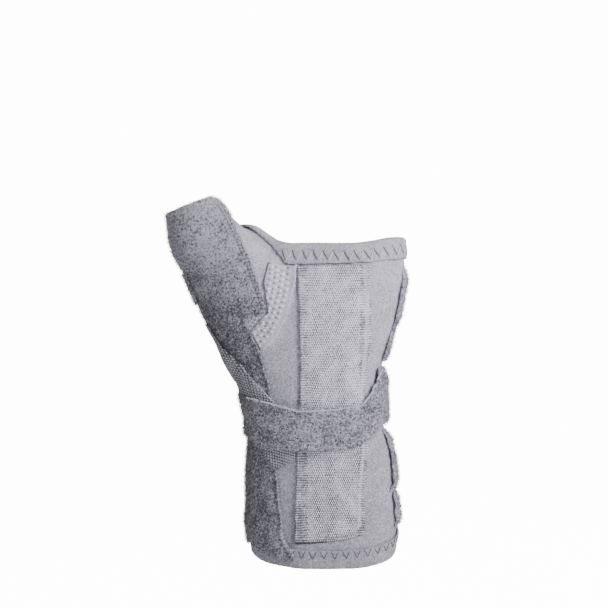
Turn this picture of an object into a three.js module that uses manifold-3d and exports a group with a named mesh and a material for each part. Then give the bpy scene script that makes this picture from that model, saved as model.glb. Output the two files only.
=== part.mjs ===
import * as THREE from 'three';
import { mergeVertices } from 'three/addons/utils/BufferGeometryUtils.js';
import Module from 'manifold-3d';

const wasm = await Module();
wasm.setup();

// Thumb spica splint for a left hand, seen from the palm: +X is the little finger side,
// +Y the back of the hand, +Z the fingers. The origin is the middle of the wrist.

// Driving sizes, in millimetres and degrees.
const HAND_LENGTH = 94;
const FOREARM_LENGTH = 74;
const PALM_WIDTH = 89;
const WRIST_WIDTH = 70;
const FOREARM_WIDTH = 79;
const PALM_DEPTH = 36;
const WRIST_DEPTH = 44;
const FOREARM_DEPTH = 56;
const WRIST_BEND = THREE.MathUtils.degToRad(18);
const BEND_LENGTH = 24;
const WEB_RISE = 10;
const ULNAR_RISE = 3;
const THUMB_BORE = 19.2;
const THUMB_REACH = 69;
const THUMB_RISE = 116;
const THUMB_FORWARD = 16;
const THUMB_LEAN = THREE.MathUtils.degToRad(22.8);
const WALL = 3;
const GAP = 0.35;
const PANEL = 1.5;
const WEBBING = 1.2;
const BINDING = 1.2;
const BINDING_WIDTH = 10;
const STRAP = 1.8;
const SECTION_POWER = 2.3;

// How finely the cloth is faceted.
const AROUND = 36;
const RINGS = 18;
const THUMB_AROUND = 20;
const THUMB_RINGS = 10;
const REACH_PAST = 2;
const EDGE_TURN = THREE.MathUtils.degToRad(15);
const SPLIT_LAP = 0.5;

// Heights of the layers over the outer face of the body.
const LOW = GAP;
const OVER_WEBBING = LOW + WEBBING + GAP;
const OVER_PANEL = LOW + PANEL + GAP;
const OVER_THUMB_STRAP = OVER_PANEL + WEBBING + GAP;

// Half width and half depth along the arm, as shares of the local palm, wrist or forearm size.
// Columns: at (-1 lower rim, 0 wrist, 1 top rim), radial, ulnar, palmar, dorsal.
const ARM = [
  { at: -1, radial: 0.911, ulnar: 1.038, palmar: 1, dorsal: 1 },
  { at: -0.78, radial: 0.977, ulnar: 1.093, palmar: 0.95, dorsal: 0.98 },
  { at: -0.58, radial: 1.024, ulnar: 1.071, palmar: 0.92, dorsal: 0.96 },
  { at: -0.39, radial: 1.06, ulnar: 1.104, palmar: 0.93, dorsal: 0.98 },
  { at: -0.13, radial: 1.051, ulnar: 1.037, palmar: 0.95, dorsal: 1.02 },
  { at: 0, radial: 1.046, ulnar: 0.951, palmar: 0.955, dorsal: 1.045 },
  { at: 0.155, radial: 1.137, ulnar: 0.921, palmar: 0.98, dorsal: 1.02 },
  { at: 0.31, radial: 1.196, ulnar: 0.887, palmar: 1.04, dorsal: 1 },
  { at: 0.47, radial: 1.17, ulnar: 0.992, palmar: 1.15, dorsal: 1.02 },
  { at: 0.67, radial: 1.093, ulnar: 1.033, palmar: 1.22, dorsal: 1.04 },
  { at: 0.83, radial: 1.027, ulnar: 1.039, palmar: 1.13, dorsal: 1.02 },
  { at: 1, radial: 0.978, ulnar: 1.011, palmar: 1, dorsal: 1 },
];

// Rings of the thumb sleeve from its root in the palm to its open end.
// Columns: reach, forward and rise as shares of the thumb sizes; across and deep as shares
// of the half width of the open end.
const THUMB = [
  { reach: 0.217, forward: 0, rise: 0.19, across: 1.75, deep: 1.03 },
  { reach: 0.333, forward: 0.19, rise: 0.323, across: 2.06, deep: 1.27 },
  { reach: 0.391, forward: 0.375, rise: 0.455, across: 2.22, deep: 1.43 },
  { reach: 0.551, forward: 0.563, rise: 0.608, across: 2.14, deep: 1.35 },
  { reach: 0.7, forward: 0.75, rise: 0.732, across: 1.825, deep: 1.19 },
  { reach: 0.872, forward: 0.875, rise: 0.84, across: 1.508, deep: 1.03 },
  { reach: 0.959, forward: 0.94, rise: 0.929, across: 1.19, deep: 1.016 },
  { reach: 1, forward: 1, rise: 1, across: 1, deep: 1 },
];

// Outlines drawn on the front or back of the arm.
// Columns: across as a share of the local half width (radial side negative), at as in ARM.
const POCKET_FRONT = [
  [-0.28, 0.885], [-0.24, 0.65], [-0.24, 0.38], [-0.28, 0.1], [-0.34, -0.14], [-0.34, -0.49],
  [-0.37, -0.82], [0.03, -0.81], [0.36, -0.79], [0.57, -0.77], [0.59, -0.4], [0.72, -0.1],
  [0.73, 0.14], [0.72, 0.45], [0.64, 0.65], [0.58, 0.885],
];
const INSERT_FRONT = [
  [-0.3, 0.885], [-0.31, 0.8], [-0.35, 0.69], [-0.42, 0.58], [-0.52, 0.49], [-0.68, 0.4],
  [-0.8, 0.51], [-0.64, 0.6], [-0.585, 0.62], [-0.66, 0.77], [-0.64, 0.82], [-0.61, 0.885],
];
const RADIAL_FRONT = [
  [-1.3, 0.52], [-0.84, 0.54], [-0.77, 0.475], [-0.69, 0.39], [-0.67, 0.31], [-0.64, 0.22],
  [-0.63, 0.12], [-0.63, -0.02], [-0.61, -0.29], [-0.56, -0.47], [-0.53, -0.61], [-0.53, -0.76],
  [-0.49, -0.82], [-0.41, -0.88], [-0.34, -0.955], [-0.7, -0.955], [-1.3, -0.955],
];
const RADIAL_BACK = [
  [-1.3, 0.52], [-0.97, 0.45], [-0.94, 0], [-0.93, -0.4], [-0.93, -0.955], [-1.3, -0.955],
];
const WRIST_STRAP_FRONT = [
  [-1.3, 0.17], [-0.99, 0.14], [-0.84, 0.12], [-0.59, 0.1], [-0.29, 0.09], [0.14, 0.09],
  [0.45, 0.09], [0.66, 0.1], [0.79, 0.14], [0.87, 0.18], [0.95, 0.23], [1.0, 0.305], [1.3, 0.32],
  [1.3, 0.01], [1.1, -0.01], [0.95, -0.05], [0.78, -0.08], [0.51, -0.12], [0.22, -0.13],
  [-0.34, -0.14], [-0.57, -0.13], [-0.81, -0.14], [-0.95, -0.13], [-1.3, -0.11],
];
const WRIST_STRAP_BACK = [
  [-1.3, 0.17], [-0.6, 0.15], [0, 0.16], [0.6, 0.25], [1.3, 0.32],
  [1.3, 0.01], [0.6, -0.06], [0, -0.12], [-0.6, -0.13], [-1.3, -0.11],
];
const THUMB_STRAP_FRONT = [
  [-1.55, 0.6], [-1.29, 0.55], [-1.16, 0.44], [-0.92, 0.31], [-0.73, 0.17], [-0.63, 0.12],
  [-0.4, 0.01], [-0.34, -0.2], [-0.66, -0.29], [-0.85, -0.14], [-1.1, 0.07], [-1.55, 0.3],
];
const THUMB_STRAP_BACK = [
  [-1.55, 0.6], [-1.05, 0.6], [-0.5, 0.66], [-0.5, 0.36], [-1, 0.26], [-1.55, 0.3],
];
const HAND_STRAP_FRONT = [
  [1.3, 0.88], [0.98, 0.88], [0.975, 0.8], [0.97, 0.69], [0.97, 0.53], [0.98, 0.34], [1.3, 0.34],
];
const HAND_STRAP_BACK = [
  [1.3, 0.88], [0.5, 0.88], [-0.3, 0.88], [-0.3, 0.34], [0.5, 0.34], [1.3, 0.34],
];
const UPPER_FOREARM_FRONT = [
  [1.3, -0.06], [0.985, -0.06], [0.985, -0.22], [0.97, -0.32], [0.97, -0.44], [0.955, -0.535],
  [1.3, -0.535],
];
const UPPER_FOREARM_BACK = [
  [1.3, -0.06], [0.5, -0.16], [-0.5, -0.16], [-0.86, -0.14], [-0.86, -0.535], [1.3, -0.535],
];
const LOWER_FOREARM_FRONT = [
  [1.3, -0.55], [0.97, -0.55], [0.985, -0.61], [0.955, -0.69], [0.97, -0.75], [0.97, -0.825],
  [1.3, -0.825],
];
const LOWER_FOREARM_BACK = [[1.3, -0.55], [-0.86, -0.55], [-0.86, -0.825], [1.3, -0.825]];

// Outlines drawn on the thumb. Columns: reach and rise as shares of the thumb sizes.
const THUMB_PANEL_FRONT = [
  [1.4, 1.19], [0.768, 1.017], [0.688, 0.94], [0.603, 0.836], [0.532, 0.733], [0.47, 0.629],
  [0.405, 0.505], [0.575, 0.47], [0.55, 0.41], [1.4, 0.41],
];
const THUMB_PANEL_BACK = [
  [1.4, 1.19], [0.9, 1.19], [0.86, 0.86], [0.78, 0.69], [0.7, 0.56], [0.66, 0.41], [1.4, 0.41],
];
const THUMB_TAB_FRONT = [[1.3, 0.7], [1.035, 0.677], [0.985, 0.605], [0.925, 0.535], [1.3, 0.48]];
const THUMB_TAB_BACK = [
  [1.3, 0.7], [0.56, 0.8], [0.56, 0.6], [0.84, 0.51], [0.925, 0.535], [1.3, 0.48],
];

function smooth(value) {
  const share = THREE.MathUtils.clamp(value, 0, 1);
  return share * share * (3 - 2 * share);
}

// Smooth reading of one column of a table at a fractional row.
function readRow(table, column, row) {
  const index = THREE.MathUtils.clamp(Math.floor(row), 0, table.length - 2);
  const pick = (i) => table[THREE.MathUtils.clamp(i, 0, table.length - 1)][column];
  const share = row - index;
  const rise = (pick(index + 1) - pick(index - 1)) / 2;
  const next = (pick(index + 2) - pick(index)) / 2;
  const start = pick(index);
  const end = pick(index + 1);
  const cubed = share ** 3;
  const squared = share ** 2;
  return (2 * cubed - 3 * squared + 1) * start + (cubed - 2 * squared + share) * rise
    + (3 * squared - 2 * cubed) * end + (cubed - squared) * next;
}

function armShare(column, at) {
  const place = THREE.MathUtils.clamp(at, -1, 1);
  let index = 0;
  while (index < ARM.length - 2 && ARM[index + 1].at < place) {
    index += 1;
  }
  const span = ARM[index + 1].at - ARM[index].at;
  return readRow(ARM, column, index + (place - ARM[index].at) / span);
}

function localSize(at, palm, wrist, forearm) {
  const end = at > 0 ? palm : forearm;
  return wrist + (end - wrist) * smooth(Math.abs(at));
}

function halfSizes(at) {
  const width = localSize(at, PALM_WIDTH, WRIST_WIDTH, FOREARM_WIDTH) / 2;
  const depth = localSize(at, PALM_DEPTH, WRIST_DEPTH, FOREARM_DEPTH) / 2;
  return {
    radial: width * armShare('radial', at),
    ulnar: width * armShare('ulnar', at),
    palmar: depth * armShare('palmar', at),
    dorsal: depth * armShare('dorsal', at),
  };
}

// Middle line of the arm: straight up the hand, an arc at the wrist, straight down the forearm.
function armLine(distance) {
  const half = BEND_LENGTH / 2;
  const radius = BEND_LENGTH / WRIST_BEND;
  const turned = WRIST_BEND * THREE.MathUtils.clamp((half - distance) / BEND_LENGTH, 0, 1);
  const below = Math.max(0, -half - distance);
  const above = Math.max(0, distance - half);
  return {
    y: radius * (1 - Math.cos(turned)) + below * Math.sin(turned),
    z: half - radius * Math.sin(turned) - below * Math.cos(turned) + above,
    turned,
  };
}

function rimRise(across) {
  return WEB_RISE * smooth((-across - 0.42) / 0.5) + ULNAR_RISE * smooth((across - 0.4) / 0.6);
}

// A point of the arm: sideways and deepward are shares of the section, at runs along the arm,
// lift stands off the outer face and past runs on along the middle line.
function armPoint(sideways, deepward, at, lift, past) {
  const half = halfSizes(at);
  const length = at > 0 ? HAND_LENGTH : FOREARM_LENGTH;
  const rise = rimRise(sideways) * smooth((at - 0.6) / 0.4);
  const line = armLine(at * length + rise + past);
  const across = sideways * ((sideways > 0 ? half.ulnar : half.radial) + lift);
  const deep = deepward * ((deepward > 0 ? half.dorsal : half.palmar) + lift);
  return new THREE.Vector3(
    across,
    line.y + deep * Math.cos(line.turned),
    line.z + deep * Math.sin(line.turned),
  );
}

function roundShare(value) {
  return Math.sign(value) * Math.abs(value) ** (2 / SECTION_POWER);
}

function solid(geometry) {
  const plain = geometry.clone();
  plain.deleteAttribute('normal');
  plain.deleteAttribute('uv');
  const merged = mergeVertices(plain, 1e-5);
  return new wasm.Manifold(new wasm.Mesh({
    numProp: 3,
    vertProperties: Float32Array.from(merged.attributes.position.array),
    triVerts: Uint32Array.from(merged.index.array),
  }));
}

// A closed cylinder whose rings are placed one by one.
function ringSolid(around, rings, place) {
  const geometry = new THREE.CylinderGeometry(1, 1, 1, around, rings);
  const position = geometry.attributes.position;
  for (let i = 0; i < position.count; i += 1) {
    const side = position.getX(i);
    const deep = -position.getZ(i);
    const ring = Math.round((position.getY(i) + 0.5) * rings);
    const point = place(side, deep, ring);
    position.setXYZ(i, point.x, point.y, point.z);
  }
  return solid(geometry);
}

// Lift is a number or a function of at and of the sideways share.
function armForm(lift, past) {
  const extra = past > 0 ? 1 : 0;
  const rings = RINGS + 2 * extra;
  return ringSolid(AROUND, rings, (side, deep, ring) => {
    const step = THREE.MathUtils.clamp(ring - extra, 0, RINGS);
    const at = (2 * step) / RINGS - 1;
    const run = Math.sign(ring - extra - step) * past;
    const sideways = roundShare(side);
    const deepward = roundShare(deep);
    const height = typeof lift === 'function' ? lift(at, sideways, deepward) : lift;
    return armPoint(sideways, deepward, at, height, run);
  });
}

function thumbForm(lift, past) {
  const extra = past > 0 ? 1 : 0;
  const rings = THUMB_RINGS + extra;
  const end = THUMB_BORE / 2 + WALL;
  return ringSolid(THUMB_AROUND, rings, (side, deep, ring) => {
    const step = Math.min(ring, THUMB_RINGS);
    const row = (step / THUMB_RINGS) * (THUMB.length - 1);
    const run = ring > step ? past : 0;
    const across = side * (end * readRow(THUMB, 'across', row) + lift);
    const depth = deep * (end * readRow(THUMB, 'deep', row) + lift);
    return new THREE.Vector3(
      -THUMB_REACH * readRow(THUMB, 'reach', row) + across * Math.cos(THUMB_LEAN)
        - run * Math.sin(THUMB_LEAN),
      -THUMB_FORWARD * readRow(THUMB, 'forward', row) + depth,
      THUMB_RISE * readRow(THUMB, 'rise', row) + across * Math.sin(THUMB_LEAN)
        + run * Math.cos(THUMB_LEAN),
    );
  });
}

function form(lift, past) {
  return armForm(lift, past).add(thumbForm(lift, past));
}

// The same with a lift that changes along or round the arm.
function variedForm(lift, past) {
  return armForm(lift, past).add(thumbForm(lift(0, 0, 0), past));
}

// Straight cut through the splint, following an outline in X and Z.
function straightCut(points) {
  const shape = new THREE.Shape(points.map(([x, z]) => new THREE.Vector2(x, z)));
  const deep = FOREARM_DEPTH * 4;
  const geometry = new THREE.ExtrudeGeometry(shape, { depth: deep, bevelEnabled: false });
  geometry.rotateX(Math.PI / 2);
  geometry.translate(0, deep / 2, 0);
  return solid(geometry);
}

// The half of space in front of the middle of the arm, bent at the wrist with it and moved
// back by the given distance.
function frontHalf(back) {
  const far = HAND_LENGTH + FOREARM_LENGTH;
  const top = armLine(far);
  const wrist = armLine(0);
  const foot = armLine(-far);
  const shape = new THREE.Shape([
    new THREE.Vector2(-far, foot.z),
    new THREE.Vector2(foot.y, foot.z),
    new THREE.Vector2(wrist.y, wrist.z),
    new THREE.Vector2(top.y, top.z),
    new THREE.Vector2(-far, top.z),
  ]);
  const geometry = new THREE.ExtrudeGeometry(shape, { depth: 2 * far, bevelEnabled: false });
  geometry.translate(0, 0, -far);
  geometry.rotateZ(Math.PI / 2);
  geometry.rotateY(Math.PI / 2);
  geometry.translate(0, back, 0);
  return solid(geometry);
}

// Sideways shares that divide an edge evenly round the arm, with a stop at its side.
function edgeStops(from, to) {
  const turn = (share) => {
    const inside = Math.min(1, Math.abs(share)) ** (SECTION_POWER / 2);
    return Math.acos(Math.sign(share) * inside);
  };
  const steps = Math.ceil(Math.abs(turn(to) - turn(from)) / EDGE_TURN);
  const stops = [from];
  if (Math.abs(from) > 1 && steps > 0) {
    stops.push(Math.sign(from));
  }
  for (let step = 1; step < steps; step += 1) {
    const share = step / steps;
    stops.push(roundShare(Math.cos(turn(from) * (1 - share) + turn(to) * share)));
  }
  if (Math.abs(to) > 1 && steps > 0) {
    stops.push(Math.sign(to));
  }
  return stops;
}

// An outline on the arm as seen from the front, side -1, or the back, side 1.
function armOutline(outline, side) {
  const points = [];
  outline.forEach(([across, at], i) => {
    const [nextAcross, nextAt] = outline[(i + 1) % outline.length];
    edgeStops(across, nextAcross).forEach((sideways) => {
      const share = sideways === across ? 0 : (sideways - across) / (nextAcross - across);
      const inside = Math.max(0, 1 - Math.abs(sideways) ** SECTION_POWER);
      const deepward = side * inside ** (1 / SECTION_POWER);
      const point = armPoint(sideways, deepward, at + (nextAt - at) * share, 0, 0);
      points.push([point.x, point.z]);
    });
  });
  return points;
}

function thumbOutline(outline) {
  return outline.map(([reach, rise]) => [-THUMB_REACH * reach, THUMB_RISE * rise]);
}

// One outline cuts the cloth in front of the split and one the cloth behind it.
function cutter(front, back, split = 0) {
  const inFront = straightCut(front).intersect(frontHalf(split + SPLIT_LAP));
  if (!back) {
    return inFront;
  }
  return inFront.add(straightCut(back).subtract(frontHalf(split - SPLIT_LAP)));
}

function armCutter(front, back) {
  return cutter(armOutline(front, -1), back && armOutline(back, 1));
}

// A layer of cloth between two heights over the body.
function layer(low, thick, shape) {
  return form(low + thick, 0).subtract(form(low, REACH_PAST)).intersect(shape);
}

function variedLayer(low, thick, shape) {
  const outer = variedForm((...where) => low(...where) + thick, 0);
  return outer.subtract(variedForm(low, REACH_PAST)).intersect(shape);
}

// A closed band round the arm. Each profile entry gives at, lift and how far it runs past.
function armLoop(profile) {
  const closed = [...profile, profile[0]];
  const points = closed.map((entry, i) => new THREE.Vector2(1, i));
  const geometry = new THREE.LatheGeometry(points, AROUND);
  const position = geometry.attributes.position;
  for (let i = 0; i <= AROUND; i += 1) {
    const turn = (2 * Math.PI * (i % AROUND)) / AROUND;
    const sideways = roundShare(Math.cos(turn));
    const deepward = roundShare(Math.sin(turn));
    closed.forEach(({ at, lift, past }, j) => {
      const point = armPoint(sideways, deepward, at, lift, past);
      position.setXYZ(i * closed.length + j, point.x, point.y, point.z);
    });
  }
  return solid(geometry);
}

function armWall() {
  const rings = Array.from({ length: RINGS + 1 }, (entry, i) => (2 * i) / RINGS - 1);
  const outer = rings.map((at) => ({ at, lift: 0, past: 0 }));
  const inner = rings.map((at) => ({ at, lift: -WALL, past: 0 }));
  return armLoop([...outer, ...inner.reverse()]);
}

// Folded strip over a rim: an inner leg, the fold past the rim and an outer leg.
function binding(end) {
  const leg = end - (end * BINDING_WIDTH) / (end > 0 ? HAND_LENGTH : FOREARM_LENGTH);
  const inner = -WALL - GAP;
  const edge = end * GAP;
  const fold = end * (GAP + BINDING);
  const profile = [
    { at: leg, lift: inner - BINDING, past: 0 },
    { at: leg, lift: inner, past: 0 },
    { at: end, lift: inner, past: edge },
    { at: end, lift: GAP, past: edge },
    { at: leg, lift: GAP, past: 0 },
    { at: leg, lift: GAP + BINDING, past: 0 },
    { at: end, lift: GAP + BINDING, past: edge },
    { at: end, lift: GAP, past: fold },
    { at: end, lift: inner, past: fold },
    { at: end, lift: inner - BINDING, past: edge },
  ];
  return armLoop(end > 0 ? profile : profile.reverse());
}

function mesh(name, shape, color, roughness) {
  const { vertProperties, triVerts } = shape.getMesh();
  const geometry = new THREE.BufferGeometry();
  geometry.setAttribute('position', new THREE.BufferAttribute(Float32Array.from(vertProperties), 3));
  geometry.setIndex(new THREE.BufferAttribute(Uint32Array.from(triVerts), 1));
  const material = new THREE.MeshStandardMaterial({ color, roughness, metalness: 0 });
  const item = new THREE.Mesh(geometry, material);
  item.name = name;
  return item;
}

const armSpace = armForm(-WALL, REACH_PAST);
const thumbSpace = thumbForm(-WALL, REACH_PAST);
const thumbWall = thumbForm(0, 0).subtract(thumbSpace).subtract(armSpace);
const body = armWall().subtract(thumbSpace).add(thumbWall);

const thumbSide = layer(LOW, PANEL, cutter(
  thumbOutline(THUMB_PANEL_FRONT),
  thumbOutline(THUMB_PANEL_BACK),
)).subtract(armForm(OVER_PANEL, REACH_PAST));
const panelLift = (at) => LOW + (BINDING + GAP) * smooth((-at - 0.66) / 0.1);
const armSide = variedLayer(panelLift, PANEL, armCutter(RADIAL_FRONT, RADIAL_BACK));

const strapLift = (at, sideways, deepward) => {
  const front = deepward < 0.3 ? smooth((0.2 - sideways) / 0.4) : smooth((0.6 - deepward) / 0.3);
  const radial = (OVER_THUMB_STRAP - OVER_WEBBING) * front * (sideways < 0.2 ? 1 : 0);
  return OVER_WEBBING + radial;
};

const group = new THREE.Group();
group.add(mesh('body_shell', body, 0xb7b6be, 0.95));
group.add(mesh('loop_panel', armSide.add(thumbSide), 0x85848b, 0.98));
group.add(mesh('top_binding', binding(1).subtract(thumbForm(OVER_PANEL, REACH_PAST * 2)), 0xaeadb5, 0.85));
group.add(mesh('bottom_binding', binding(-1), 0x9d9ca3, 0.85));
group.add(mesh('stay_pocket', layer(LOW, WEBBING, armCutter(POCKET_FRONT)), 0xc3c2c9, 0.9));
group.add(mesh('thenar_insert', layer(LOW, WEBBING, armCutter(INSERT_FRONT)), 0xc0bfc7, 0.9));
group.add(mesh('thumb_strap', layer(OVER_PANEL, WEBBING,
  armCutter(THUMB_STRAP_FRONT, THUMB_STRAP_BACK)), 0x77767d, 0.92));
group.add(mesh('wrist_strap', variedLayer(strapLift, STRAP,
  armCutter(WRIST_STRAP_FRONT, WRIST_STRAP_BACK)), 0x818188, 0.98));
group.add(mesh('thumb_tab', layer(OVER_PANEL, WEBBING, cutter(
  thumbOutline(THUMB_TAB_FRONT),
  thumbOutline(THUMB_TAB_BACK),
  -THUMB_FORWARD / 2,
)), 0x8b8a91, 0.95));
group.add(mesh('hand_strap', layer(LOW, STRAP, armCutter(HAND_STRAP_FRONT, HAND_STRAP_BACK)),
  0x9b9aa1, 0.98));
group.add(mesh('upper_forearm_strap', layer(LOW, STRAP,
  armCutter(UPPER_FOREARM_FRONT, UPPER_FOREARM_BACK)), 0x9b9aa1, 0.98));
group.add(mesh('lower_forearm_strap', layer(LOW, STRAP,
  armCutter(LOWER_FOREARM_FRONT, LOWER_FOREARM_BACK)), 0x9b9aa1, 0.98));

export default group;
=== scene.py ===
import math
import bmesh
import bpy
from mathutils import Matrix, Vector, bvhtree, kdtree, noise


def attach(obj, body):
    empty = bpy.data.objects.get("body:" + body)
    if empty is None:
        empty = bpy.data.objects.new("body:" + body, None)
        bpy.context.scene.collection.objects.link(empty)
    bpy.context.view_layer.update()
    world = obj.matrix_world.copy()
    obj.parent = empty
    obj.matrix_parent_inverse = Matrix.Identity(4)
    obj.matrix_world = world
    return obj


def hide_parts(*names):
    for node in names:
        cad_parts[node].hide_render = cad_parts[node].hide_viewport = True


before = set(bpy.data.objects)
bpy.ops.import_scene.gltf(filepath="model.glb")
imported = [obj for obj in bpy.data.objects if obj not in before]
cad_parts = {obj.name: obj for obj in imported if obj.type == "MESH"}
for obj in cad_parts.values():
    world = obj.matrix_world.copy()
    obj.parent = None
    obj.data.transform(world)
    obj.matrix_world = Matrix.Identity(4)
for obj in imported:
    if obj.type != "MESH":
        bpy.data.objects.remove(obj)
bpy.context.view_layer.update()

MM = 0.001

# The nap's fibres: the space between two of them, their length and their thickness at the root.
NAP_SPACING = 0.00085
NAP_LENGTH = 0.0016
NAP_THICKNESS = 0.00016

# Two points on the cloth that lie closer or farther apart than this, in metres, get no stitch.
SHORTEST_STITCH = 0.00001
LONGEST_STITCH = 0.02

# The body cloth's air holes stand 5 mm apart, as a wave in radians per metre.
AIR_HOLE_WAVE = 1257

# The view: level with the middle of the splint, facing the palm.
VIEW_CENTRE = Vector((-8.6, 0, 62.6)) * MM
VIEW_DISTANCE = 1.2

# The arm sleeve's middle line and top rim, as in the solids.
HAND_LENGTH = 94
FOREARM_LENGTH = 74
RIM_HALF_WIDTH = 44
WEB_RISE = 10
ULNAR_RISE = 3
WRIST_BEND = math.radians(18)
BEND_LENGTH = 24

# About the arm's radius: it turns an angle round the arm into a length along the cloth.
ARM_RADIUS = 38

# The noise that the cloth follows is the same in every run.
noise.seed_set(5)


def make_camera():
    data = bpy.data.cameras.new("camera")
    data.lens = 131.6
    data.sensor_width = 36
    camera = bpy.data.objects.new("camera", data)
    bpy.context.scene.collection.objects.link(camera)
    camera.location = VIEW_CENTRE + Vector((0, -VIEW_DISTANCE, 0))
    camera.rotation_euler = (math.pi / 2, 0, 0)
    bpy.context.scene.camera = camera


make_camera()


def smooth(value):
    share = min(1, max(0, value))
    return share * share * (3 - 2 * share)


# A shader value, so that sums of values are written as plain expressions.
class Amount:
    def __init__(self, finish, socket):
        self.finish = finish
        self.socket = socket

    def _join(self, operation, first, second, **settings):
        return self.finish.node("ShaderNodeMath", {"operation": operation, **settings},
                                {0: first, 1: second})

    def __add__(self, other):
        return self._join("ADD", self, other)

    def __radd__(self, other):
        return self._join("ADD", other, self)

    def __sub__(self, other):
        return self._join("SUBTRACT", self, other)

    def __rsub__(self, other):
        return self._join("SUBTRACT", other, self)

    def __mul__(self, other):
        return self._join("MULTIPLY", self, other)

    def __rmul__(self, other):
        return self._join("MULTIPLY", other, self)

    def __gt__(self, other):
        return self._join("GREATER_THAN", self, other)

    def wave(self):
        return self._join("SINE", self, 0)

    def size(self):
        return self._join("ABSOLUTE", self, 0)

    def held(self):
        return self._join("ADD", self, 0, use_clamp=True)

    def out(self, name):
        return Amount(self.finish, self.socket.node.outputs[name])


# One cloth finish: a node tree with a Principled shader.
class Finish:
    def __init__(self, name, roughness):
        self.material = bpy.data.materials.new(name)
        self.material.use_nodes = True
        self.tree = self.material.node_tree
        self.shader = self.tree.nodes["Principled BSDF"]
        self.shader.inputs["Roughness"].default_value = roughness
        self.shader.inputs["Specular IOR Level"].default_value = 0.2
        self.shader.inputs["Sheen Roughness"].default_value = 0.5

    def node(self, kind, settings=None, inputs=None):
        node = self.tree.nodes.new(kind)
        for key, value in (settings or {}).items():
            setattr(node, key, value)
        for key, value in (inputs or {}).items():
            if isinstance(value, Amount):
                self.tree.links.new(value.socket, node.inputs[key])
            else:
                node.inputs[key].default_value = value
        return Amount(self, node.outputs[0])

    def place(self):
        return self.node("ShaderNodeTexCoord").out("Object")

    def noise(self, size, detail=2.0, roughness=0.5):
        made = self.node("ShaderNodeTexNoise", None,
                         {"Vector": self.place(), "Scale": 1 / size, "Detail": detail,
                          "Roughness": roughness})
        return made.out("Fac") if "Fac" in made.socket.node.outputs else made

    def cells(self, size):
        return self.node("ShaderNodeTexVoronoi", None,
                         {"Vector": self.place(), "Scale": 1 / size}).out("Distance")

    def along_axis(self, axis):
        return self.node("ShaderNodeSeparateXYZ", None, {0: self.place()}).out(axis)

    def height(self):
        return self.along_axis("Z")

    def mark(self, name):
        return self.node("ShaderNodeAttribute", {"attribute_name": name}).out("Fac")

    def blend(self, share, low, high):
        return self.node("ShaderNodeMix", {"data_type": "RGBA"},
                         {0: share, 6: low, 7: high}).out(2)

    def colour(self, socket):
        self.tree.links.new(socket.socket, self.shader.inputs["Base Color"])

    def bump(self, height, distance):
        made = self.node("ShaderNodeBump", None, {"Height": height, "Distance": distance})
        self.tree.links.new(made.socket, self.shader.inputs["Normal"])


def grey(value):
    return (value, value * 0.975, value * 1.15, 1)


def loop_cloth(name, tone, contrast, fuzz=0.00025, sheen=0.2):
    """Brushed loop cloth: matted tufts, lighter where they stand and dark between them, with painted
    light: lighter towards the top, painted shade on its left side low down and in a band at about 35 mm,
    and painted shade in its dents or a painted highlight on its ridges.
    """
    finish = Finish(name, 0.95)
    finish.shader.inputs["Sheen Weight"].default_value = sheen
    broad = finish.noise(0.008, 3)
    tufts = finish.noise(0.0013, 3, roughness=0.7)
    fine = finish.noise(0.0007, 2, roughness=0.7)
    shade = ((tufts - 0.5) * 4.4 + (broad - 0.5) * 1.5 + (fine - 0.5) * 5.4) * contrast + 0.42
    # Painted light: the cloth grows lighter towards the top, above about 59 mm.
    shade = shade + (finish.height() * 16 - 0.95).held() * 0.45
    # Painted shade: darker on the left side, low down and most in a band at about 35 mm up, where that
    # side turns away from the light.
    across = finish.along_axis("X")
    low = (0.9 - finish.height() * 14).held() * 0.25
    middle = (0.9 - (finish.height() - 0.035).size() * 28).held() * 0.4
    shade = shade - (across * -25 - 0.4).held() * (low + middle)
    # Painted shade in pressed dents and painted highlight on raised ridges, from the press mark.
    painted_relief_light = finish.mark("painted_shade_and_highlight")
    finish.colour(finish.blend((shade.held() * (1 - painted_relief_light * 0.75)).held(), grey(tone * 0.42),
                               grey(tone * 2.6)))
    finish.bump(tufts * 0.7 + fine * 0.6, fuzz)
    return finish.material


def body_cloth(name, tone, airing=0.0, light=1.3, level=0.47, contrast=1.0):
    """Brushed knit, with painted light making it lighter towards the hand, faint air holes beside the
    webbing, and painted shade or highlight at its pressed marks.
    """
    finish = Finish(name, 0.9)
    finish.shader.inputs["Sheen Weight"].default_value = 0.15
    broad = finish.noise(0.009, 3)
    grain = finish.noise(0.0009, 2, roughness=0.65)
    knit = finish.cells(0.0011)
    # Painted shade in pressed dents and painted highlight on raised ridges, from the press mark.
    painted_relief_light = finish.mark("painted_shade_and_highlight")
    shade = ((grain - 0.5) * 2.8 + (broad - 0.5) * 0.8 + (0.5 - knit) * 0.6) * contrast + level
    # Painted light: lighter towards the top, darker towards the bottom.
    shade = shade + finish.height() * 3.3
    if airing:
        across = finish.along_axis("X")
        holes = ((across * AIR_HOLE_WAVE).wave() * (finish.height() * AIR_HOLE_WAVE).wave()) > 0.9
        shade = shade - holes * (across * -1 > 0.011) * airing
    finish.colour(finish.blend((shade.held() * (1 - painted_relief_light * 0.7)).held(), grey(tone * 0.62),
                               grey(tone * light)))
    finish.bump(grain * 0.6 - knit * 0.5, 0.00018)
    return finish.material


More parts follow.
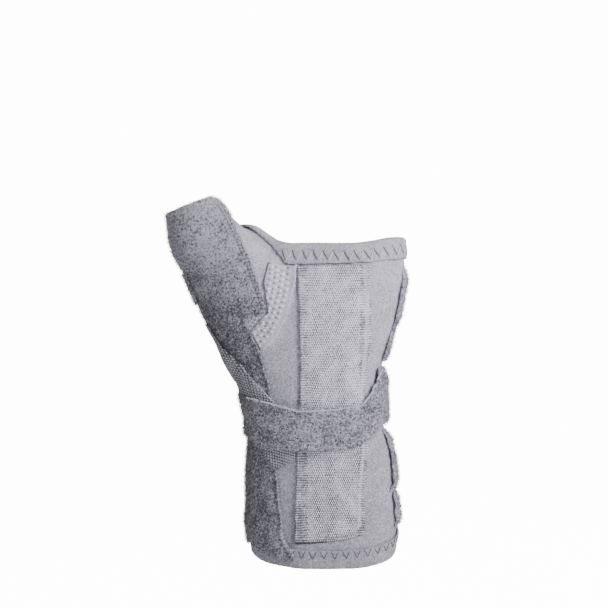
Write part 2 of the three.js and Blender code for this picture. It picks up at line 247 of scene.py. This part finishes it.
def woven(name, tone, across_pitch, row_pitch, contrast=1.0, turn=0.0, margins=None, wound=False):
    """Rows of ribs across the tape with staggered raised picks between its plain margins, with painted
    light that makes it lighter towards the top.
    """
    finish = Finish(name, 0.8)
    finish.shader.inputs["Sheen Weight"].default_value = 0.1
    side = finish.mark("round") if wound else finish.along_axis("X")
    across = side * math.cos(turn) + finish.height() * math.sin(turn)
    along = finish.height() * math.cos(turn) - side * math.sin(turn)
    along = along + (finish.noise(0.022, 1) - 0.5) * 0.0026
    ribs = (along * (2 * math.pi / row_pitch)).wave()
    picks = (across * (2 * math.pi / across_pitch)).wave() * (along * (math.pi / row_pitch)).wave()
    if margins:
        middle, half = margins
        inside = (1 - ((across - middle).size() - half) * 900).held()
        picks = picks * inside
    slub = finish.noise(0.0008, 2, roughness=0.7)
    broad = finish.noise(0.008, 2)
    # Painted shade in pressed dents and painted highlight on raised ridges, from the press mark.
    painted_relief_light = finish.mark("painted_shade_and_highlight")
    weave = picks.held() * 1.1 - (picks * -1).held() * 0.25 + ribs * 0.19
    shade = (weave + (slub - 0.5) * 1.5 + (broad - 0.5) * 0.8) * contrast + 0.3
    # Painted light: lighter towards the top, darker towards the bottom.
    shade = shade + finish.height() * 1.4
    finish.colour(finish.blend((shade.held() * (1 - painted_relief_light * 0.7)).held(), grey(tone * 0.18),
                               grey(tone * 1.9)))
    finish.bump(weave + slub * 0.3, 0.00018)
    return finish.material


def thread(name, tone):
    finish = Finish(name, 0.6)
    twist = finish.noise(0.0006, 1)
    finish.colour(finish.blend(twist.held(), grey(tone * 0.6), grey(tone * 1.3)))
    return finish.material


def shown(name, mesh):
    piece = bpy.data.objects.new(name, mesh)
    bpy.context.scene.collection.objects.link(piece)
    return piece


def sag(place):
    """How far the worn cloth lies off its true form at one place, the same for every layer."""
    slow = noise.noise_vector(place * 38) * 0.8
    quick = noise.noise_vector(place * 95 + Vector((7, 3, 5))) * 0.3
    return (slow + quick) * MM


def worked(piece):
    """Keeps what the modifiers make as the piece's own mesh."""
    depsgraph = bpy.context.evaluated_depsgraph_get()
    mesh = bpy.data.meshes.new_from_object(piece.evaluated_get(depsgraph))
    piece.modifiers.clear()
    piece.data = mesh
    for polygon in mesh.polygons:
        polygon.use_smooth = True


def tufting(size):
    texture = bpy.data.textures.new("tufting", "CLOUDS")
    texture.noise_scale = size
    texture.noise_depth = 2
    return texture


def cloth(node, voxel, passes, tuft=0.0, tuft_size=0.0015):
    """Soft cloth in the place of a solid: rounded edges and a napped face."""
    bm = bmesh.new()
    bm.from_mesh(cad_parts[node].data)
    bmesh.ops.remove_doubles(bm, verts=bm.verts, dist=1e-6)
    mesh = bpy.data.meshes.new(node + "_cloth")
    bm.to_mesh(mesh)
    bm.free()
    piece = shown(node + "_cloth", mesh)
    grid = piece.modifiers.new("grid", "REMESH")
    grid.mode = "VOXEL"
    grid.voxel_size = voxel
    relax = piece.modifiers.new("relax", "SMOOTH")
    relax.factor = 0.5
    relax.iterations = passes
    if tuft:
        nap = piece.modifiers.new("nap", "DISPLACE")
        nap.texture = tufting(tuft_size)
        nap.strength = tuft
        nap.mid_level = 0.5
    worked(piece)
    for vertex in piece.data.vertices:
        vertex.co += sag(vertex.co)
    return piece


def tuck(piece, depth, reach=5.0, side=1, bulge=0.3):
    """Draws a strap's edges at one side of the arm in towards the body, so that it bulges."""
    far = max(vertex.co.x * side for vertex in piece.data.vertices)
    heights = [v.co.z for v in piece.data.vertices if v.co.x * side > far - 6 * MM]
    low, high = min(heights), max(heights)
    for vertex in piece.data.vertices:
        near = smooth(min(vertex.co.z - low, high - vertex.co.z) / (reach * MM))
        outward = smooth((vertex.co.x * side - far) / (14 * MM) + 1)
        vertex.co.x += ((near - 1) * depth + near * bulge) * outward * side * MM


def thin_edge(piece, width=3.5, depth=1.3):
    """Lays a strap's front edge down on the body, so that it thins out towards its end."""
    near = min(vertex.co.y for vertex in piece.data.vertices) + 14 * MM
    rows = {}
    for vertex in piece.data.vertices:
        if vertex.co.y < near:
            row = round(vertex.co.z / (1.5 * MM))
            rows[row] = min(rows.get(row, 1), vertex.co.x)
    for vertex in piece.data.vertices:
        row = round(vertex.co.z / (1.5 * MM))
        if vertex.co.y < near and row in rows:
            lead = smooth((vertex.co.x - rows[row]) / (width * MM))
            vertex.co.y += (1 - lead) * depth * MM


def point_tree(points):
    tree = kdtree.KDTree(len(points))
    for index, point in enumerate(points):
        tree.insert(point, index)
    tree.balance()
    return tree


def lay_down(piece, points, radius, depth):
    """Lays the cloth near some points back on what is behind it."""
    tree = point_tree(points)
    for vertex in piece.data.vertices:
        distance = tree.find(vertex.co)[2]
        vertex.co.y += depth * MM * smooth(1 - distance / (radius * MM))


def finish_piece(piece, material, slot, *nodes):
    piece.data.materials.clear()
    piece.data.materials.append(material)
    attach(piece, "root")
    if nodes:
        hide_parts(*nodes)


def surface(*pieces):
    trees = []
    for piece in pieces:
        bm = bmesh.new()
        bm.from_mesh(piece.data)
        trees.append(bvhtree.BVHTree.FromBMesh(bm))
        bm.free()
    return trees


def cast(trees, start, direction):
    """The nearest hit of a ray, as point and outward normal in metres."""
    best = None
    for tree in trees:
        point, normal, _, distance = tree.ray_cast(start, direction)
        if point is not None and (best is None or distance < best[2]):
            best = (point, normal, distance)
    return best and (best[0], best[1])


def front(trees, x, z):
    return cast(trees, Vector((x * MM, -0.3, z * MM)), Vector((0, 1, 0)))


def arm_line(distance):
    half = BEND_LENGTH / 2
    radius = BEND_LENGTH / WRIST_BEND
    turned = WRIST_BEND * min(1, max(0, (half - distance) / BEND_LENGTH))
    below = max(0, -half - distance)
    above = max(0, distance - half)
    y = radius * (1 - math.cos(turned)) + below * math.sin(turned)
    z = half - radius * math.sin(turned) - below * math.cos(turned) + above
    return Vector((0, y, z)), turned


def wind(piece):
    """Keeps how far round the arm each vertex lies, in metres, for a weave that follows it."""
    attribute = piece.data.attributes.new("round", "FLOAT", "POINT")
    for vertex in piece.data.vertices:
        middle = arm_line(vertex.co.z / MM)[0] * MM
        turn = math.atan2(middle.y - vertex.co.y, -vertex.co.x)
        attribute.data[vertex.index].value = turn * ARM_RADIUS * MM


def around(trees, distance, turn):
    """The cloth met from outside at one distance along the arm and one turn round it."""
    middle, turned = arm_line(distance)
    deepward = Vector((0, math.cos(turned), math.sin(turned)))
    out = Vector((1, 0, 0)) * math.cos(turn) + deepward * math.sin(turn)
    hit = cast(trees, (middle + out * 120) * MM, -out)
    return hit if hit and (hit[0] - middle * MM).dot(out) > 0 else None


def press(piece, points, radius, depth, mark=1.0):
    """Presses dents of one radius into the cloth, or raises them where depth is negative, and keeps a
    mark for each that the finishes turn into painted shade (positive mark) or a painted highlight
    (negative mark).
    """
    if not points:
        return
    mesh = piece.data
    tree = point_tree(points)
    attribute = mesh.attributes.get("painted_shade_and_highlight")
    if attribute is None:
        attribute = mesh.attributes.new("painted_shade_and_highlight", "FLOAT", "POINT")
    normals = [vertex.normal.copy() for vertex in mesh.vertices]
    for vertex in mesh.vertices:
        distance = tree.find(vertex.co)[2]
        if distance < radius:
            share = smooth(1 - distance / radius)
            value = attribute.data[vertex.index].value
            if abs(share * mark) > abs(value):
                attribute.data[vertex.index].value = share * mark
            vertex.co -= normals[vertex.index] * depth * share


def brush(piece, ground, seed):
    """Short fibres that stand out of the napped face, none where the cloth lies on the ground."""
    name = piece.name.replace("_cloth", "_nap")
    outer = piece.data.attributes.new("outer", "FLOAT", "POINT")
    painted_shade_and_highlight = piece.data.attributes.get("painted_shade_and_highlight")
    for vertex in piece.data.vertices:
        hit = ground[0].ray_cast(vertex.co + vertex.normal * 0.0001, vertex.normal, 0.0035)
        dented = painted_shade_and_highlight is not None and painted_shade_and_highlight.data[vertex.index].value > 0.25
        outer.data[vertex.index].value = 0.0 if hit[0] is not None or dented else 1.0
    group = bpy.data.node_groups.new(name, "GeometryNodeTree")
    group.interface.new_socket("Geometry", in_out="INPUT", socket_type="NodeSocketGeometry")
    group.interface.new_socket("Geometry", in_out="OUTPUT", socket_type="NodeSocketGeometry")

    def node(kind, values=None, **settings):
        made = group.nodes.new(kind)
        for key, value in settings.items():
            setattr(made, key, value)
        for key, value in (values or {}).items():
            if isinstance(value, bpy.types.NodeSocket):
                group.links.new(value, made.inputs[key])
            else:
                made.inputs[key].default_value = value
        return made

    cloth_in = node("NodeGroupInput").outputs[0]
    face = node("GeometryNodeInputNamedAttribute", {"Name": "outer"}, data_type="FLOAT")
    many = node("ShaderNodeMath", {0: face.outputs[0], 1: 1 / NAP_SPACING ** 2}, operation="MULTIPLY")
    points = node("GeometryNodeDistributePointsOnFaces",
                  {"Mesh": cloth_in, "Density": many.outputs[0], "Seed": seed})
    fibre = node("GeometryNodeMeshCone",
                 {"Vertices": 3, "Side Segments": 1, "Radius Top": NAP_THICKNESS * 0.3,
                  "Radius Bottom": NAP_THICKNESS * 0.5, "Depth": NAP_LENGTH}, fill_type="NONE")
    lean = node("FunctionNodeRandomValue",
                {0: (-1.1, -1.1, -3.1), 1: (1.1, 1.1, 3.1), "Seed": seed + 1},
                data_type="FLOAT_VECTOR")
    turned = node("FunctionNodeRotateRotation",
                  {0: points.outputs["Rotation"], 1: lean.outputs[0]}, rotation_space="LOCAL")
    stand = node("GeometryNodeInstanceOnPoints",
                 {"Points": points.outputs["Points"], "Instance": fibre.outputs["Mesh"],
                  "Rotation": turned.outputs[0]})
    real = node("GeometryNodeRealizeInstances", {0: stand.outputs[0]})
    node("NodeGroupOutput", {0: real.outputs[0]})
    fibres = shown(name, piece.data.copy())
    fibres.modifiers.new("fibres", "NODES").node_group = group
    worked(fibres)
    finish_piece(fibres, lit_nap_material, "loop_fabric")
    return fibres


def sew(name, runs, radius, material, proud=0.5):
    """Stitches of thread, each a slim bead between two points on the cloth; the same beads also serve as
    painted shade in holes and painted highlights on rims.
    """
    bm = bmesh.new()
    for (a, na), (b, nb) in runs:
        lift = (na + nb).normalized() * radius * proud
        along = b - a
        length = along.length
        if not SHORTEST_STITCH <= length <= LONGEST_STITCH:
            continue
        turn = along.to_track_quat("Z", "Y").to_matrix().to_4x4()
        matrix = (Matrix.Translation((a + b) / 2 + lift) @ turn
                  @ Matrix.Diagonal((radius, radius, length * 0.53, 1)))
        bmesh.ops.create_uvsphere(bm, u_segments=6, v_segments=6, radius=1, matrix=matrix)
    mesh = bpy.data.meshes.new(name)
    bm.to_mesh(mesh)
    bm.free()
    for polygon in mesh.polygons:
        polygon.use_smooth = True
    piece = shown(name, mesh)
    finish_piece(piece, material, "binding")
    return piece


def along_path(points, step, offset=0.0):
    """Evenly spaced places on a path in x and z, in millimetres, moved sideways by offset."""
    places = []
    carried = 0.0
    for (x0, z0), (x1, z1) in zip(points, points[1:]):
        length = math.hypot(x1 - x0, z1 - z0)
        if length == 0:
            continue
        dx, dz = (x1 - x0) / length, (z1 - z0) / length
        while carried <= length:
            places.append((x0 + dx * carried - dz * offset, z0 + dz * carried + dx * offset))
            carried += step
        carried -= length
    return places


# Finishes.
body_material = body_cloth("body_cloth_finish", 0.45, 0.3)
palm_loop = loop_cloth("loop_panel_finish", 0.185, 0.8)
edge_loop = loop_cloth("edge_strap_finish", 0.23, 0.8)
strap_loop = loop_cloth("wrist_strap_finish", 0.225, 0.75)
# Painted light: the fibres are the same grey as the loop cloth, and this lighter copy paints light on
# them.
lit_nap_material = loop_cloth("nap_finish", 0.3, 0.7)
pocket_material = woven("stay_pocket_finish", 0.57, 0.00115, 0.0013, 1.25, 0.0, (0.007, 0.0132))
strap_weave = woven("thumb_strap_finish", 0.285, 0.0018, 0.0012, 1.0, math.radians(40), wound=True)
binding_material = body_cloth("binding_finish", 0.42)
insert_material = body_cloth("insert_finish", 0.32, light=2.9, level=0.2, contrast=0.25)
seam_material = thread("insert_seam_finish", 0.8)
# Painted highlight: a light thread along a strap's edge stands for the light on the edge's thickness.
edge_highlight_thread = thread("strap_edge_highlight_finish", 0.7)
dark_thread = thread("dark_thread_finish", 0.1)
light_thread = thread("light_thread_finish", 0.85)

# The cloth pieces.
body = cloth("body_shell", 0.0015, 8, 0.0003, 0.004)
finish_piece(body, body_material, "body_fabric", "body_shell")

top = cloth("top_binding", 0.0008, 6, 0.0001)
finish_piece(top, binding_material, "binding", "top_binding")
bottom = cloth("bottom_binding", 0.0009, 5, 0.0001)
finish_piece(bottom, binding_material, "binding", "bottom_binding")
pocket = cloth("stay_pocket", 0.0006, 5, 0.00015)
finish_piece(pocket, pocket_material, "webbing", "stay_pocket")
insert = cloth("thenar_insert", 0.00035, 6)
finish_piece(insert, insert_material, "perforated_insert", "thenar_insert")
loop = cloth("loop_panel", 0.0008, 6, 0.0004)
finish_piece(loop, palm_loop, "loop_fabric", "loop_panel")
thumb_strap = cloth("thumb_strap", 0.0008, 4, 0.0001)
wind(thumb_strap)
finish_piece(thumb_strap, strap_weave, "webbing", "thumb_strap")
wrist = cloth("wrist_strap", 0.0008, 6, 0.0004)
tuck(wrist, 2.4, 8, 1, 0.6)
tuck(wrist, 1.6, 6, -1, -1.2)
finish_piece(wrist, strap_loop, "loop_fabric", "wrist_strap")
tab = cloth("thumb_tab", 0.0008, 4, 0.0002)
finish_piece(tab, palm_loop, "loop_fabric", "thumb_tab")
hand = cloth("hand_strap", 0.0008, 6, 0.0004)
tuck(hand, 2.6, 9)
thin_edge(hand)
finish_piece(hand, edge_loop, "loop_fabric", "hand_strap")
upper = cloth("upper_forearm_strap", 0.0008, 6, 0.0004)
tuck(upper, 1.8, 6)
thin_edge(upper)
finish_piece(upper, edge_loop, "loop_fabric", "upper_forearm_strap")
lower = cloth("lower_forearm_strap", 0.0008, 6, 0.0004)
tuck(lower, 1.8, 6)
thin_edge(lower)
finish_piece(lower, edge_loop, "loop_fabric", "lower_forearm_strap")


# Seams, stitches and perforations. Paths are in millimetres across and up, seen from the palm.
INSERT_ROW_GAP = 3.1
NOTCH_ROW_GAP = 1.9
NOTCH_TOP = 57
TOP_SEARCH_LEVEL = 90.5
TURN_STEPS = 2160


def places(trees, path, step, offset=0.0):
    hits = [front(trees, x, z) for x, z in along_path(path, step, offset)]
    return [hit for hit in hits if hit]


def spots(trees, path, step, offset=0.0):
    return [hit[0] for hit in places(trees, path, step, offset)]


THUMB_PANEL_EDGE = [(-27.8, 60.5), (-32.4, 73), (-36.7, 85), (-41.6, 97), (-47.5, 109), (-53, 118)]
THUMB_PANEL_FOOT = [(-40, 55), (-28.3, 59.3)]
INSERT_ARC = [(-13, 86), (-14, 76.7), (-15.9, 66), (-19.2, 55.6), (-23.8, 46.4), (-30.9, 38)]
INSERT_EDGE = [(-27, 90.2), (-27.3, 82), (-28.9, 74), (-29.7, 71)]
RADIAL_EDGE = [(-39.5, 54), (-35.6, 45), (-31.4, 37), (-29.7, 29.4), (-27, 21), (-24.8, 10.5),
               (-23.4, -5), (-23, -28), (-22.4, -34.8), (-21.7, -41.4), (-20.4, -51),
               (-20.3, -61.8), (-18.4, -66.8), (-15.3, -71), (-12.4, -76)]
PALM_EDGE = [(44.3, 85.5), (44.3, 70), (43.2, 59.5), (42.6, 48.6), (39.9, 37.8), (36, 33), (32.5, 31.4)]
WEB_CREASE = [(-40, 105.3), (-35, 99), (-30, 94), (-26.5, 91), (-23.2, 89)]
POCKET_LEFT = [(-12.4, 84.5), (-11, 62), (-10.6, 36), (-11, 9), (-12.7, -17), (-13.3, -42), (-13.7, -64)]
POCKET_RIGHT = [(26.2, 84.5), (27.4, 62), (27.1, 42.7), (23.8, 13), (25.7, -13), (23.6, -35),
                (23.6, -57)]
POCKET_FOOT = [(-13.3, -65.3), (1, -64.3), (14.9, -61.8), (24, -58.4)]
THUMB_STRAP_EDGE = [(-52.9, 42.6), (-48, 37), (-41, 30), (-33.5, 20.5), (-25, 10.9)]
STRAP_EDGE = [(-39.2, 13.1), (-24.7, 9.7), (-11.9, 6.3), (1.8, 6.6), (13.9, 7.8), (21.5, 8.9),
              (26.8, 15), (32.9, 27.9)]

body_tree = surface(body)
loop_tree = surface(loop)
insert_tree = surface(insert)
pocket_tree = surface(pocket)
top_tree = surface(top)
bottom_tree = surface(bottom)


def insert_row(offset, first):
    """Places on the insert 3.2 mm apart, on a line beside its seam."""
    hits = [front(insert_tree, x, z) for x, z in along_path(INSERT_ARC, 0.4, offset)[first::8]]
    return [hit[0] for hit in hits if hit]


def pierce_insert():
    """Four staggered rows of holes with painted shade in them, with a raised spot painted as a highlight
    between each two.
    """
    for row in range(4):
        stagger = 4 * (row % 2)
        painted_highlight_spots = insert_row(-2.4 - INSERT_ROW_GAP * row, stagger)
        holes = insert_row(-3.9 - INSERT_ROW_GAP * row, 4 - stagger)
        # Painted highlight on the raised spots; the holes are pressed with painted shade.
        press(insert, painted_highlight_spots, 0.75 * MM, -0.3 * MM, -7.0)
        press(insert, holes, 0.95 * MM, 0.9 * MM, 1.2)


def pierce_notch():
    """Holes on the body, in the loop panel's notch beside the insert: dark beads as painted shade in the
    holes and light beads as painted highlights on their rims.
    """
    beside = insert_tree + loop_tree
    notch = [(x, z) for row in range(6, 11)
             for x, z in along_path(INSERT_ARC, 0.4, -NOTCH_ROW_GAP * row)[3 * (row % 2)::6]
             if z < NOTCH_TOP and not front(beside, x + 0.9, z) and not front(beside, x - 0.3, z)]
    holes = [(front(body_tree, x, z), front(body_tree, x + 0.4, z)) for x, z in notch]
    rim_highlights = [(front(body_tree, x - 0.2, z - 1), front(body_tree, x, z - 1.4)) for x, z in notch]
    # Painted shade: dark beads in the holes; painted highlight: light beads on their rims.
    sew("notch_hole_painted_shade", [(a, b) for a, b in holes if a and b], 0.45 * MM, dark_thread, 0)
    sew("notch_hole_painted_highlights", [(a, b) for a, b in rim_highlights if a and b], 0.4 * MM, light_thread)


def crease_body():
    """The seam's ridge and groove, the insert's far edge, the web's crease and the palm's edge, each
    pressed with painted shade in its groove or a painted highlight on its ridge.
    """
    # Negative marks paint a highlight on a raised ridge, positive marks paint shade in a groove.
    for path, offset, radius, depth, mark in [
            (INSERT_ARC, 0.6, 1.3, -0.9, -0.8),
            (INSERT_ARC, 2.2, 0.9, 0.4, 0.4),
            (INSERT_EDGE, 0.5, 1.1, 0.5, 0.6),
            (WEB_CREASE, 0.0, 1.0, 0.5, 0.8),
            (PALM_EDGE, -0.8, 1.3, -1.1, -0.4)]:
        press(body, spots(body_tree, path, 0.8, offset), radius * MM, depth * MM, mark)


def stitch_panel():
    """Lines of stitches in shallow grooves with painted shade inside the loop panel's edges, and its
    rolled border with a painted highlight.
    """
    # Painted shade in the grooves.
    press(loop, spots(loop_tree, THUMB_PANEL_EDGE, 0.6, 3.2), 0.8 * MM, 0.35 * MM, 0.35)
    runs = []
    for path, step, offset in [(THUMB_PANEL_EDGE, 1.0, 1.1), (THUMB_PANEL_EDGE, 1.0, 2.6),
                               (THUMB_PANEL_FOOT, 1.0, 1.4), (RADIAL_EDGE, 1.3, -1.7)]:
        press(loop, spots(loop_tree, path, 0.6, offset), 0.9 * MM, 0.35 * MM, 0.3)
        stops = places(loop_tree, path, step, offset)
        runs += list(zip(stops[0::2], stops[1::2]))
    stitches = sew("loop_panel_stitches", runs, 0.24 * MM, dark_thread)
    press(loop, spots(loop_tree, RADIAL_EDGE, 0.6, -2.6), 0.8 * MM, 0.4 * MM, 0.5)
    # Painted highlight along the raised rolled border.
    press(loop, spots(loop_tree, RADIAL_EDGE, 0.5, -0.9), 1.0 * MM, -0.3 * MM, -0.8)
    return stitches


def shape_edges():
    """The wrist strap's upper edge laid down, a painted highlight along the raised borders of the strap
    and the pocket's left edge, and painted shade along the pocket's raised foot.
    """
    lay_down(wrist, spots(surface(wrist), STRAP_EDGE[5:], 0.8, -0.8), 5, 1.4)
    # Painted highlight along the raised edges.
    press(wrist, spots(surface(wrist), STRAP_EDGE, 0.5, -0.7), 0.8 * MM, -0.2 * MM, -1.0)
    press(pocket, spots(pocket_tree, POCKET_LEFT, 0.5, 0.5), 0.6 * MM, -0.15 * MM, -0.5)
    # Painted shade along the pocket's raised foot.
    press(pocket, spots(pocket_tree, POCKET_FOOT, 0.5, 0.2), 1.4 * MM, -0.4 * MM, 0.7)


def rim(x):
    """The height of the top rim at one place across the palm, in millimetres."""
    share = x / RIM_HALF_WIDTH
    return (HAND_LENGTH + WEB_RISE * smooth((-share - 0.42) / 0.5)
            + ULNAR_RISE * smooth((share - 0.4) / 0.6))


def top_level(inset, x):
    return (TOP_SEARCH_LEVEL if x is None else rim(x)) - inset


def bottom_level(inset, x):
    return -FOREARM_LENGTH + (6 if x is None else inset)


def stitching(trees, level, pattern):
    """Stitches all the way round a rim: each leg is a step along it and the level it ends on."""
    corners = []
    last = None
    for index in range(TURN_STEPS):
        turn = 2 * math.pi * index / TURN_STEPS + math.pi / 2
        middle = around(trees, level(0, None), turn) or around(trees, level(-7, None), turn)
        if middle is None:
            last = None
            corners.append(None)
            continue
        step, inset = pattern[len(corners) % len(pattern)]
        if last is not None and (middle[0] - last).length < step * MM:
            continue
        last = middle[0]
        corners.append(around(trees, level(inset, middle[0].x / MM), turn))
    runs = [(a, b) if a and b else None for a, b in zip(corners, corners[1:])]
    return [[run for run in runs[first::len(pattern)] if run] for first in range(len(pattern))]


def stitch_top():
    """A zigzag of dark and light legs below the top rim, with a needle hole at each dark leg, dented
    with painted shade and marked by a dark bead of painted shade.
    """
    dark, light = stitching(top_tree, top_level, [(2.7, 3.2), (2.7, 8.4)])
    dark_legs = sew("top_dark_stitches", dark, 0.28 * MM, dark_thread)
    light_legs = sew("top_light_stitches", light, 0.3 * MM, light_thread)
    # Painted shade in the needle holes: dented and darkened, and a dark bead in each.
    press(top, [a[0] for a, b in dark], 0.9 * MM, 0.4 * MM, 1.0)
    needle_hole_shade_beads = [(a, (a[0] + Vector((0.4 * MM, 0, 0)), a[1])) for a, b in dark]
    return [dark_legs, light_legs, sew("top_needle_hole_painted_shade", needle_hole_shade_beads, 0.45 * MM, dark_thread, 0)]


def stitch_bottom():
    """Separate V stitches above the bottom rim."""
    legs = stitching(bottom_tree, bottom_level, [(2.1, 9.2), (1.9, 5.2), (1.9, 9.2)])
    falling, rising = legs[:2]
    stitches = sew("bottom_stitches", falling + rising, 0.26 * MM, dark_thread)
    ends = [a[0] for a, b in falling] + [b[0] for a, b in rising]
    # Painted shade in the dents at the stitches' ends.
    press(bottom, ends, 1.0 * MM, 0.4 * MM, 1.0)
    return stitches


def stitch_pocket():
    """A zigzag down the pocket's right edge and a running stitch down its left."""
    edge = places(pocket_tree, POCKET_RIGHT, 1.3, -1.2)
    inner = places(pocket_tree, POCKET_RIGHT, 1.3, -3.8)
    runs = [(a, b) for a, b in zip(edge, inner)] + [(b, a) for a, b in zip(edge[1:], inner)]
    side = places(pocket_tree, POCKET_LEFT, 0.65, 1.1)
    runs += list(zip(side[0::2], side[1::2]))
    return sew("pocket_edge_stitches", runs, 0.19 * MM, light_thread)


def cord(name, trees, path, step, offset, radius, material):
    """One thread without breaks along a path on the cloth; also used as a painted highlight along a
    strap's edge and a painted shadow along the pocket's foot.
    """
    line = places(trees, path, step, offset)
    return sew(name, list(zip(line, line[1:])), radius * MM, material)


pierce_insert()
pierce_notch()
crease_body()
panel_marks = stitch_panel()
shape_edges()
top_marks = stitch_top()
bottom_marks = stitch_bottom()
pocket_marks = stitch_pocket()
# Painted highlights along the upper edges of the wrist strap and the thumb strap.
wrist_edge_highlight = cord("wrist_strap_edge_highlight", surface(wrist), STRAP_EDGE, 0.8, -0.5, 0.5, edge_highlight_thread)
thumb_edge_highlight = cord("thumb_strap_edge_highlight", surface(thumb_strap), THUMB_STRAP_EDGE, 0.8, -0.4, 0.3,
                  edge_highlight_thread)
cord("insert_seam_cord", body_tree + insert_tree, INSERT_ARC, 0.7, 0.3, 0.6, seam_material)
# Painted shadow: a dark thread along the pocket's foot stands for the shadow of its folded edge.
cord("pocket_foot_painted_shadow", body_tree, POCKET_FOOT, 0.8, -1.1, 0.35, dark_thread)

naps = {piece: brush(piece, body_tree, index * 7)
        for index, piece in enumerate([loop, wrist, hand, upper, lower, tab])}

# The flat cuts: width and length of the cloth, its area and how it is held.
for piece, width, length, area, held, below, extra in [
        (top, 24, 196, 4690, "folded", body, top_marks),
        (bottom, 24, 223, 5350, "folded", body, [bottom_marks]),
        (pocket, 39.5, 149, 5700, "laid", body, [pocket_marks]),
        (insert, 16, 48, 630, "laid", body, []),
        (loop, 80, 200, 10430, "laid", body, [panel_marks]),
        (thumb_strap, 30, 125, 2950, "stretched", loop, [thumb_edge_highlight]),
        (wrist, 24, 215, 4900, "stretched", loop, [wrist_edge_highlight]),
        (tab, 34, 45, 1260, "laid", loop, []),
        (hand, 50, 80, 3900, "stretched", body, []),
        (upper, 32, 95, 2960, "stretched", body, []),
        (lower, 25, 93, 2230, "stretched", body, [])]:
    on_it = extra + ([naps[piece]] if piece in naps else [])
    width * MM
    length * MM
    area * MM * MM


# The stage: a pale floor that sweeps up behind, and soft light from the right.
def make_stage():
    bm = bmesh.new()
    edge = [bm.verts.new((-4, -3, -0.16)), bm.verts.new((4, -3, -0.16))]
    bm.edges.new(edge)
    swept = bmesh.ops.extrude_edge_only(bm, edges=bm.edges[:])
    corner = [v for v in swept["geom"] if isinstance(v, bmesh.types.BMVert)]
    bmesh.ops.translate(bm, verts=corner, vec=(0, 4.5, 0))
    last = [e for e in bm.edges if all(v in corner for v in e.verts)]
    bmesh.ops.spin(bm, geom=last + corner, cent=(0, 1.5, 0.84), axis=(1, 0, 0),
                   angle=math.pi / 2, steps=16)
    top_edges = [e for e in bm.edges if all(v.co.y > 2.49 for v in e.verts)]
    raised = bmesh.ops.extrude_edge_only(bm, edges=top_edges)
    bmesh.ops.translate(bm, verts=[v for v in raised["geom"] if isinstance(v, bmesh.types.BMVert)],
                        vec=(0, 0, 3))
    mesh = bpy.data.meshes.new("floor")
    bm.to_mesh(mesh)
    bm.free()
    for polygon in mesh.polygons:
        polygon.use_smooth = True
    floor = shown("floor", mesh)
    finish = Finish("floor_finish", 0.9)
    finish.shader.inputs["Specular IOR Level"].default_value = 0.5
    finish.shader.inputs["Base Color"].default_value = (0.92, 0.92, 0.92, 1)
    finish.shader.inputs["Emission Color"].default_value = (1, 1, 1, 1)
    bright = finish.node("ShaderNodeLightPath").out("Is Camera Ray") * 14
    finish.tree.links.new(bright.socket, finish.shader.inputs["Emission Strength"])
    mesh.materials.append(finish.material)


def make_light(name, location, size, energy):
    data = bpy.data.lights.new(name, "AREA")
    data.shape = "DISK"
    data.size = size
    data.energy = energy
    light = bpy.data.objects.new(name, data)
    bpy.context.scene.collection.objects.link(light)
    light.location = location
    towards = Vector((0, 0, 0.03)) - Vector(location)
    light.rotation_euler = towards.to_track_quat("-Z", "Y").to_euler()


make_stage()
make_light("key_light", (1.15, -1.0, 0.75), 0.6, 34)
make_light("fill_light", (-1.0, -1.6, 0.6), 1.2, 2.5)
make_light("back_light", (0.5, 1.2, 1.4), 1.0, 8)
world = bpy.data.worlds.new("studio")
world.use_nodes = True
world.node_tree.nodes["Background"].inputs[0].default_value = (1, 1, 1, 1)
world.node_tree.nodes["Background"].inputs[1].default_value = 0.2
bpy.context.scene.world = world
